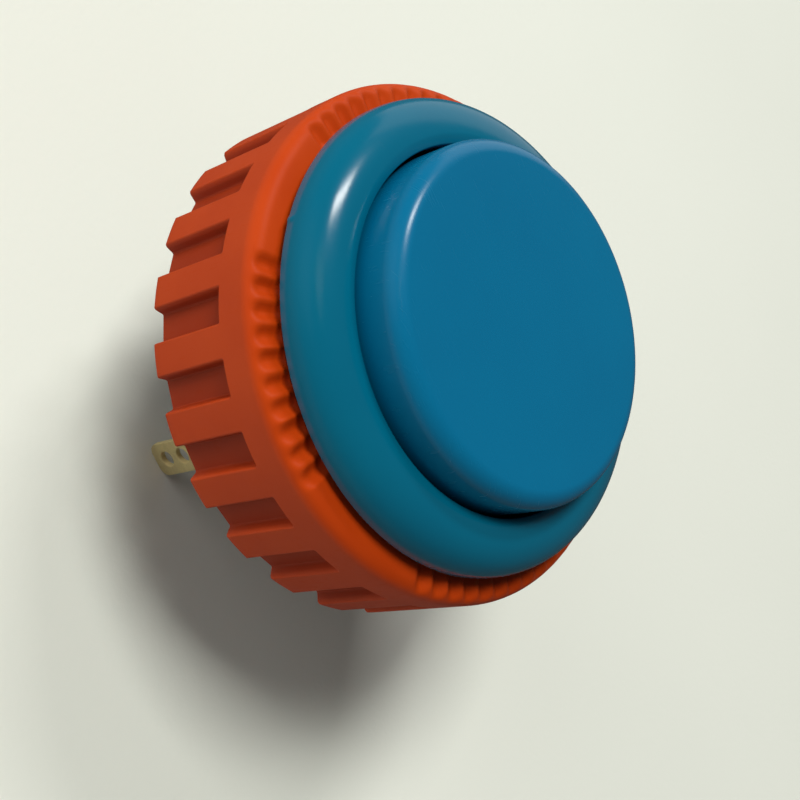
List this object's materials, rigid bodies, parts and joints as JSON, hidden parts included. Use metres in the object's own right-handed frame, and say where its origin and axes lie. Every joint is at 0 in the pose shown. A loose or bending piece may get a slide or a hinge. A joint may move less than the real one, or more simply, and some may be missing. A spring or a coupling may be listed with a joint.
{
  "type": "push button",
  "caption": "Round screw-in push button with a domed bezel, a raised plunger, a ribbed ring nut and a snap-in switch module with flat tab terminals.",
  "frame": {"origin": "on the button's axis, in the plane of the bezel's underside, where it sits on the panel", "axes": "+Z along the button's axis, out of the panel towards the finger; +Y across the two terminals; +X along the width of the tabs"},
  "size_m": [0.0368, 0.0368, 0.0338],
  "materials": {
    "teal_plastic": "glossy moulded teal-blue plastic",
    "blue_plastic": "glossy moulded blue plastic",
    "orange_plastic": "semi-matte moulded orange plastic",
    "black_plastic": "matte moulded black plastic",
    "white_plastic": "natural white plastic",
    "terminal_brass": "stamped dull brass",
    "copper_strip": "stamped copper alloy",
    "contact_silver": "satin silver",
    "spring_steel": "drawn wire"
  },
  "bodies": {
    "housing": {"bezel_barrel": "teal_plastic", "switch_housing": "black_plastic", "switch_cover": "black_plastic", "terminal_a": "terminal_brass", "terminal_b": "terminal_brass", "fixed_contact_a": "contact_silver", "fixed_contact_b": "contact_silver", "return_spring": "spring_steel"},
    "plunger": {"plunger": "blue_plastic"},
    "actuator": {"actuator": "white_plastic", "contact_spring": "spring_steel"},
    "bridge": {"contact_bridge": "copper_strip", "moving_contact_a": "contact_silver", "moving_contact_b": "contact_silver"},
    "nut": {"ring_nut": "orange_plastic"}
  },
  "joints": [
    {"name": "plunger_press", "type": "slide", "parent": "housing", "child": "plunger", "axis": [0, 0, -1], "range_m": [0, 0.0022], "stiffness_N_per_m": 200, "springref_m": -0.003},
    {"name": "actuator_press", "type": "slide", "parent": "housing", "child": "actuator", "axis": [0, 0, -1], "range_m": [0, 0.0022], "deforming": ["return_spring"]},
    {"name": "bridge_lift", "type": "slide", "parent": "actuator", "child": "bridge", "axis": [0, 0, 1], "range_m": [0, 0.0007], "deforming": ["contact_spring"]},
    {"name": "nut_unscrew", "type": "slide", "parent": "housing", "child": "nut", "axis": [0, 0, -1], "range_m": [0, 0.0114]}
  ],
  "couplings": [
    {"joint": "actuator_press", "follows": "plunger_press", "ratio": 1},
    {"joint": "bridge_lift", "follows": "plunger_press", "ratio": 0.318}
  ]
}
